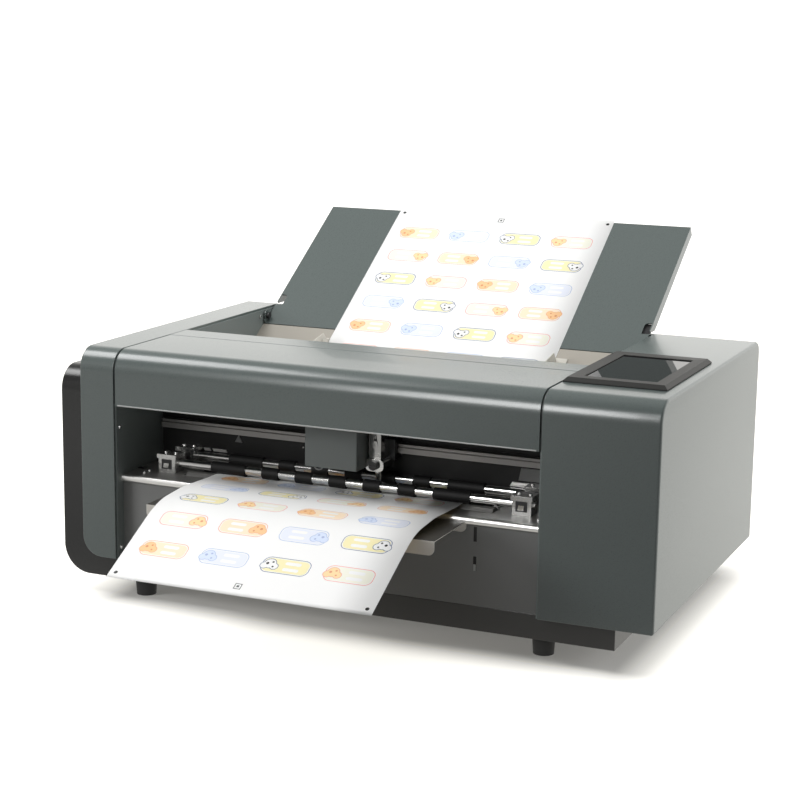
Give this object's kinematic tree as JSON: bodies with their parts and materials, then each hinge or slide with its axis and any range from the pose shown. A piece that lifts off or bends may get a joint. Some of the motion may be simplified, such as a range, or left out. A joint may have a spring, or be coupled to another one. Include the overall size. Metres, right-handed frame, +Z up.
{
  "type": "sheet-fed cutting plotter",
  "caption": "Desktop cutter that feeds label sheets from a tilted rear tray past pinch rollers under a blade carriage on a cross rail.",
  "frame": {"origin": "on the floor, under the middle of the machine's outline with tray and sheets", "axes": "+X to the user's right, +Y from the user into the machine, +Z up"},
  "size_m": [0.727, 0.7728, 0.4121],
  "materials": {
    "satin_grey": "satin",
    "dark_grey": "satin",
    "black_paint": "matte",
    "black_plastic": "matte",
    "gloss_black": "gloss",
    "screen": "gloss",
    "steel": "brushed",
    "bright_steel": "polished",
    "aluminium": "satin",
    "black_rubber": "matte",
    "grey_rubber": "matte",
    "clear_plastic": "gloss",
    "cream_plastic": "matte",
    "beige_paint": "satin",
    "brass": "satin",
    "board_green": "satin",
    "label_stock": "satin"
  },
  "bodies": {
    "frame": {"base_pan": "black_paint", "feet": "black_rubber", "left_cover": "satin_grey", "left_side_housing": "black_plastic", "right_cover": "satin_grey", "rear_panel": "satin_grey", "top_bridge": "satin_grey", "cover_hinge_pins": "steel", "tray_pivots": "black_plastic", "feed_bed": "beige_paint", "left_side_plate": "dark_grey", "right_side_plate": "dark_grey", "table": "dark_grey", "table_edge": "bright_steel", "cutting_strip": "black_plastic", "front_panel": "dark_grey", "output_tray": "dark_grey", "feed_belt": "black_rubber", "roller_bushes": "brass", "pinch_brackets": "clear_plastic", "beam": "black_paint", "rail": "steel", "carriage_belt": "black_rubber", "drive_motors": "gloss_black", "display_bezel": "black_plastic", "display_glass": "screen", "control_board": "board_green", "power_supply": "aluminium", "rear_sockets": "black_plastic", "fan_frame": "black_plastic", "panel_screws": "steel", "output_sheet": "label_stock", "bed_sheet": "label_stock"},
    "front_cover": {"front_cover": "satin_grey"},
    "paper_tray": {"paper_tray": "satin_grey", "tray_sheet": "label_stock"},
    "carriage": {"carriage_block": "aluminium", "carriage_cover": "black_plastic", "lift_solenoid": "steel"},
    "tool": {"tool_slide": "bright_steel", "tool_clamp": "bright_steel", "blade_holder": "bright_steel"},
    "clamp_knob": {"clamp_knob": "black_plastic"},
    "front_drive_roller": {"front_drive_roller": "steel"},
    "rear_drive_roller": {"rear_drive_roller": "steel"},
    "feed_motor_pulley": {"feed_motor_pulley": "aluminium"},
    "front_pinch_roller": {"front_pinch_shaft": "bright_steel", "front_pinch_sleeves": "black_rubber"},
    "rear_pinch_roller": {"rear_pinch_shaft": "bright_steel", "rear_pinch_sleeves": "black_rubber"},
    "travel_pulley": {"carriage_motor_pulley": "aluminium"},
    "idler_pulley": {"idler_pulley": "aluminium"},
    "pickup_roller": {"pickup_shaft": "steel", "pickup_tyres": "grey_rubber"},
    "pickup_pinion": {"pickup_pinion": "brass"},
    "left_guide": {"left_paper_guide": "cream_plastic"},
    "right_guide": {"right_paper_guide": "cream_plastic"},
    "guide_pinion": {"guide_pinion": "cream_plastic"},
    "fan_rotor": {"fan_rotor": "black_plastic"},
    "power_rocker": {"power_rocker": "gloss_black"}
  },
  "joints": [
    {"name": "front_cover_hinge", "type": "hinge", "parent": "frame", "child": "front_cover", "pos_m": [-0.0235, -0.07393, 0.2915], "axis": [-1, 0, 0], "range_deg": [0, 75]},
    {"name": "paper_tray_pivot", "type": "hinge", "parent": "frame", "child": "paper_tray", "pos_m": [-0.0235, 0.17711, 0.28462], "axis": [1, 0, 0], "range_deg": [0, 144]},
    {"name": "carriage_travel", "type": "slide", "parent": "frame", "child": "carriage", "axis": [1, 0, 0], "range_m": [-0.21, 0.14]},
    {"name": "tool_drop", "type": "slide", "parent": "carriage", "child": "tool", "axis": [0, 0, -1], "range_m": [0, 0.004], "stiffness_N_per_m": 400, "springref_m": -0.004},
    {"name": "clamp_knob_turn", "type": "hinge", "parent": "tool", "child": "clamp_knob", "pos_m": [0.0178, -0.13433, 0.18], "axis": [0, -1, 0], "range_deg": [-180, 180]},
    {"name": "front_drive_spin", "type": "hinge", "parent": "frame", "child": "front_drive_roller", "pos_m": [-0.0235, -0.14433, 0.1412], "axis": [1, 0, 0], "continuous": true},
    {"name": "rear_drive_spin", "type": "hinge", "parent": "frame", "child": "rear_drive_roller", "pos_m": [-0.0235, -0.10133, 0.1412], "axis": [1, 0, 0], "continuous": true},
    {"name": "feed_motor_spin", "type": "hinge", "parent": "frame", "child": "feed_motor_pulley", "pos_m": [0.2405, -0.12283, 0.0985], "axis": [1, 0, 0], "continuous": true},
    {"name": "front_pinch_spin", "type": "hinge", "parent": "frame", "child": "front_pinch_roller", "pos_m": [-0.0235, -0.14433, 0.15905], "axis": [1, 0, 0], "continuous": true},
    {"name": "rear_pinch_spin", "type": "hinge", "parent": "frame", "child": "rear_pinch_roller", "pos_m": [-0.0235, -0.10133, 0.15905], "axis": [1, 0, 0], "continuous": true},
    {"name": "travel_motor_spin", "type": "hinge", "parent": "frame", "child": "travel_pulley", "pos_m": [0.2565, -0.08433, 0.246], "axis": [0, 1, 0], "range_deg": [-1506, 1004]},
    {"name": "idler_spin", "type": "hinge", "parent": "frame", "child": "idler_pulley", "pos_m": [-0.2625, -0.08433, 0.246], "axis": [0, 1, 0], "range_deg": [-1506, 1004]},
    {"name": "pickup_spin", "type": "hinge", "parent": "frame", "child": "pickup_roller", "pos_m": [-0.0235, 0.06859, 0.22809], "axis": [1, 0, 0], "continuous": true},
    {"name": "pickup_pinion_spin", "type": "hinge", "parent": "frame", "child": "pickup_pinion", "pos_m": [-0.2925, 0.08459, 0.20038], "axis": [1, 0, 0], "continuous": true},
    {"name": "left_guide_slide", "type": "slide", "parent": "frame", "child": "left_guide", "axis": [-1, 0, 0], "range_m": [0, 0.0165]},
    {"name": "right_guide_slide", "type": "slide", "parent": "frame", "child": "right_guide", "axis": [1, 0, 0], "range_m": [0, 0.0165]},
    {"name": "guide_pinion_spin", "type": "hinge", "parent": "frame", "child": "guide_pinion", "pos_m": [-0.0235, 0.12516, 0.23645], "axis": [0, -0.5446, 0.8387], "range_deg": [-1, 120]},
    {"name": "fan_spin", "type": "hinge", "parent": "frame", "child": "fan_rotor", "pos_m": [0.3135, 0.22217, 0.235], "axis": [0, 1, 0], "continuous": true},
    {"name": "power_rocker_tilt", "type": "hinge", "parent": "frame", "child": "power_rocker", "pos_m": [0.3135, 0.22517, 0.092], "axis": [-1, 0, 0], "range_deg": [0, 16]}
  ],
  "couplings": [
    {"joint": "rear_drive_spin", "follows": "front_drive_spin", "ratio": 1},
    {"joint": "feed_motor_spin", "follows": "front_drive_spin", "ratio": 1},
    {"joint": "front_pinch_spin", "follows": "front_drive_spin", "ratio": -1.4815},
    {"joint": "rear_pinch_spin", "follows": "front_drive_spin", "ratio": -1.4815},
    {"joint": "travel_motor_spin", "follows": "carriage_travel", "rad_per_m": 125},
    {"joint": "idler_spin", "follows": "carriage_travel", "rad_per_m": 125},
    {"joint": "pickup_pinion_spin", "follows": "pickup_spin", "ratio": -3},
    {"joint": "right_guide_slide", "follows": "left_guide_slide", "ratio": 1},
    {"joint": "guide_pinion_spin", "follows": "left_guide_slide", "rad_per_m": 125}
  ]
}
